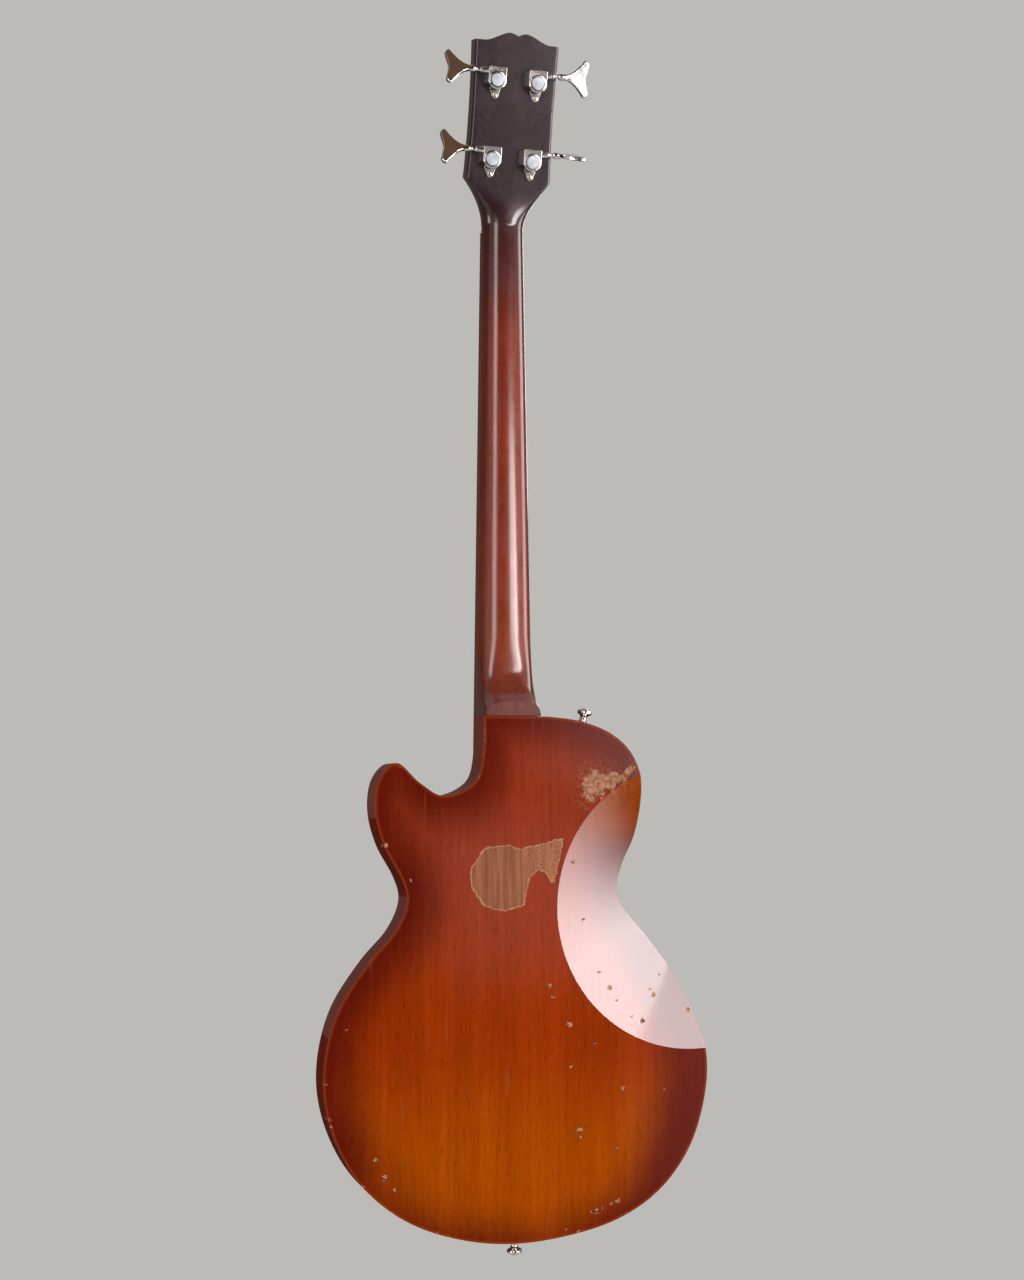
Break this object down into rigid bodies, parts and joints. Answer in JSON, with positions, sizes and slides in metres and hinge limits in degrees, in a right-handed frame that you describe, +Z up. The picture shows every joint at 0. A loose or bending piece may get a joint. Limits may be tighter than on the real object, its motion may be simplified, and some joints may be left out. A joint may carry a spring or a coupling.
{
  "type": "electric bass guitar",
  "caption": "Single-cutaway solid-body electric bass guitar with a set neck, geared tuners, humbucking pickups, movable saddles and front-mounted controls.",
  "frame": {"origin": "middle of the neck's flare under the headstock, where a wall hanger or stand's yoke holds the instrument", "axes": "+Z up the neck towards the headstock's end, +Y out of the back, +X towards the cutaway (treble) side"},
  "size_m": [0.3527, 0.1025, 1.0952],
  "materials": {
    "sunburst_lacquer": "glossy sunburst lacquer over mahogany",
    "cherry_lacquer": "glossy dark cherry lacquer over mahogany",
    "black_lacquer": "gloss black laminate",
    "rosewood": "satin",
    "bone": "polished bone",
    "chrome": "aged plated chrome",
    "nickel": "nickel plated steel",
    "steel": "plain steel",
    "string_wire": "wound steel wire",
    "brass": "machined",
    "cast_metal": "plated casting",
    "coil_tape": "taped coil",
    "lead_braid": "braided lead",
    "knob_plastic": "dark amber",
    "cream_plastic": "cream tip on a steel lever"
  },
  "bodies": {
    "instrument": {"body": "sunburst_lacquer", "bridge_base": "cast_metal", "control_plate": "black_lacquer", "fingerboard": "rosewood", "headstock_veneer": "black_lacquer", "jack_socket": "nickel", "neck": "cherry_lacquer", "nut": "bone", "pickup_coil_bridge": "coil_tape", "pickup_coil_neck": "coil_tape", "pickup_cover_bridge": "chrome", "pickup_cover_neck": "chrome", "pickup_lead_bridge": "lead_braid", "pickup_lead_neck": "lead_braid", "pickup_ring_bridge": "black_lacquer", "pickup_ring_neck": "black_lacquer", "potentiometer_1": "steel", "potentiometer_2": "steel", "potentiometer_3": "steel", "potentiometer_4": "steel", "selector_switch": "steel", "strap_button_lower": "chrome", "strap_button_upper": "chrome", "string_1": "string_wire", "string_2": "string_wire", "string_3": "string_wire", "string_4": "string_wire", "truss_rod": "steel", "truss_rod_cover": "black_lacquer", "truss_rod_nut": "brass", "tuner_bushing_1": "chrome", "tuner_bushing_2": "chrome", "tuner_bushing_3": "chrome", "tuner_bushing_4": "chrome", "tuner_housing_1": "chrome", "tuner_housing_2": "chrome", "tuner_housing_3": "chrome", "tuner_housing_4": "chrome"},
    "tuner_key_1_body": {"tuner_key_1": "chrome"},
    "tuner_post_1_body": {"tuner_post_1": "nickel"},
    "tuner_key_2_body": {"tuner_key_2": "chrome"},
    "tuner_post_2_body": {"tuner_post_2": "nickel"},
    "tuner_key_3_body": {"tuner_key_3": "chrome"},
    "tuner_post_3_body": {"tuner_post_3": "nickel"},
    "tuner_key_4_body": {"tuner_key_4": "chrome"},
    "tuner_post_4_body": {"tuner_post_4": "nickel"},
    "tone_knob_bridge_body": {"tone_knob_bridge": "knob_plastic"},
    "tone_knob_neck_body": {"tone_knob_neck": "knob_plastic"},
    "volume_knob_bridge_body": {"volume_knob_bridge": "knob_plastic"},
    "volume_knob_neck_body": {"volume_knob_neck": "knob_plastic"},
    "switch_lever_body": {"switch_lever": "cream_plastic"},
    "saddle_1_body": {"saddle_1": "nickel"},
    "intonation_screw_1_body": {"intonation_screw_1": "nickel"},
    "saddle_2_body": {"saddle_2": "nickel"},
    "intonation_screw_2_body": {"intonation_screw_2": "nickel"},
    "saddle_3_body": {"saddle_3": "nickel"},
    "intonation_screw_3_body": {"intonation_screw_3": "nickel"},
    "saddle_4_body": {"saddle_4": "nickel"},
    "intonation_screw_4_body": {"intonation_screw_4": "nickel"}
  },
  "joints": [
    {"name": "key_1_turn", "type": "hinge", "parent": "instrument", "child": "tuner_key_1_body", "pos_m": [-0.019, 0.02336, 0.03724], "axis": [-1, 0, 0], "continuous": true},
    {"name": "post_1_turn", "type": "hinge", "parent": "instrument", "child": "tuner_post_1_body", "pos_m": [-0.019, 0.01667, 0.031], "axis": [0, 0.9573, -0.289], "continuous": true},
    {"name": "key_2_turn", "type": "hinge", "parent": "instrument", "child": "tuner_key_2_body", "pos_m": [-0.019, 0.04345, 0.10377], "axis": [-1, 0, 0], "continuous": true},
    {"name": "post_2_turn", "type": "hinge", "parent": "instrument", "child": "tuner_post_2_body", "pos_m": [-0.019, 0.03676, 0.09754], "axis": [0, 0.9573, -0.289], "continuous": true},
    {"name": "key_3_turn", "type": "hinge", "parent": "instrument", "child": "tuner_key_3_body", "pos_m": [0.019, 0.04345, 0.10377], "axis": [1, 0, 0], "continuous": true},
    {"name": "post_3_turn", "type": "hinge", "parent": "instrument", "child": "tuner_post_3_body", "pos_m": [0.019, 0.03676, 0.09754], "axis": [0, 0.9573, -0.289], "continuous": true},
    {"name": "key_4_turn", "type": "hinge", "parent": "instrument", "child": "tuner_key_4_body", "pos_m": [0.019, 0.02336, 0.03724], "axis": [1, 0, 0], "continuous": true},
    {"name": "post_4_turn", "type": "hinge", "parent": "instrument", "child": "tuner_post_4_body", "pos_m": [0.019, 0.01667, 0.031], "axis": [0, 0.9573, -0.289], "continuous": true},
    {"name": "tone_knob_bridge_turn", "type": "hinge", "parent": "instrument", "child": "tone_knob_bridge_body", "pos_m": [0.124, -0.03427, -0.83442], "axis": [0, -1, 0], "range_deg": [-150, 150]},
    {"name": "tone_knob_neck_turn", "type": "hinge", "parent": "instrument", "child": "tone_knob_neck_body", "pos_m": [0.124, -0.03427, -0.79442], "axis": [0, -1, 0], "range_deg": [-150, 150]},
    {"name": "volume_knob_bridge_turn", "type": "hinge", "parent": "instrument", "child": "volume_knob_bridge_body", "pos_m": [0.084, -0.03427, -0.83442], "axis": [0, -1, 0], "range_deg": [-150, 150]},
    {"name": "volume_knob_neck_turn", "type": "hinge", "parent": "instrument", "child": "volume_knob_neck_body", "pos_m": [0.084, -0.03427, -0.79442], "axis": [0, -1, 0], "range_deg": [-150, 150]},
    {"name": "switch_tilt", "type": "hinge", "parent": "instrument", "child": "switch_lever_body", "pos_m": [0.098, -0.02947, -0.76242], "axis": [1, 0, 0], "range_deg": [-14, 14]},
    {"name": "screw_1_turn", "type": "hinge", "parent": "instrument", "child": "intonation_screw_1_body", "pos_m": [-0.0285, -0.04227, -0.78682], "axis": [0, 0, 1], "range_deg": [-2170, 2170]},
    {"name": "saddle_1_slide", "type": "slide", "parent": "instrument", "child": "saddle_1_body", "axis": [0, 0, 1], "range_m": [-0.003, 0.003]},
    {"name": "screw_2_turn", "type": "hinge", "parent": "instrument", "child": "intonation_screw_2_body", "pos_m": [-0.0095, -0.04227, -0.78682], "axis": [0, 0, 1], "range_deg": [-2170, 2170]},
    {"name": "saddle_2_slide", "type": "slide", "parent": "instrument", "child": "saddle_2_body", "axis": [0, 0, 1], "range_m": [-0.003, 0.003]},
    {"name": "screw_3_turn", "type": "hinge", "parent": "instrument", "child": "intonation_screw_3_body", "pos_m": [0.0095, -0.04227, -0.78682], "axis": [0, 0, 1], "range_deg": [-2170, 2170]},
    {"name": "saddle_3_slide", "type": "slide", "parent": "instrument", "child": "saddle_3_body", "axis": [0, 0, 1], "range_m": [-0.003, 0.003]},
    {"name": "screw_4_turn", "type": "hinge", "parent": "instrument", "child": "intonation_screw_4_body", "pos_m": [0.0285, -0.04227, -0.78682], "axis": [0, 0, 1], "range_deg": [-2170, 2170]},
    {"name": "saddle_4_slide", "type": "slide", "parent": "instrument", "child": "saddle_4_body", "axis": [0, 0, 1], "range_m": [-0.003, 0.003]}
  ],
  "couplings": [
    {"joint": "post_1_turn", "follows": "key_1_turn", "ratio": -0.05},
    {"joint": "post_2_turn", "follows": "key_2_turn", "ratio": -0.05},
    {"joint": "post_3_turn", "follows": "key_3_turn", "ratio": -0.05},
    {"joint": "post_4_turn", "follows": "key_4_turn", "ratio": -0.05},
    {"joint": "screw_1_turn", "follows": "saddle_1_slide", "rad_per_m": -12566},
    {"joint": "screw_2_turn", "follows": "saddle_2_slide", "rad_per_m": -12566},
    {"joint": "screw_3_turn", "follows": "saddle_3_slide", "rad_per_m": -12566},
    {"joint": "screw_4_turn", "follows": "saddle_4_slide", "rad_per_m": -12566}
  ]
}
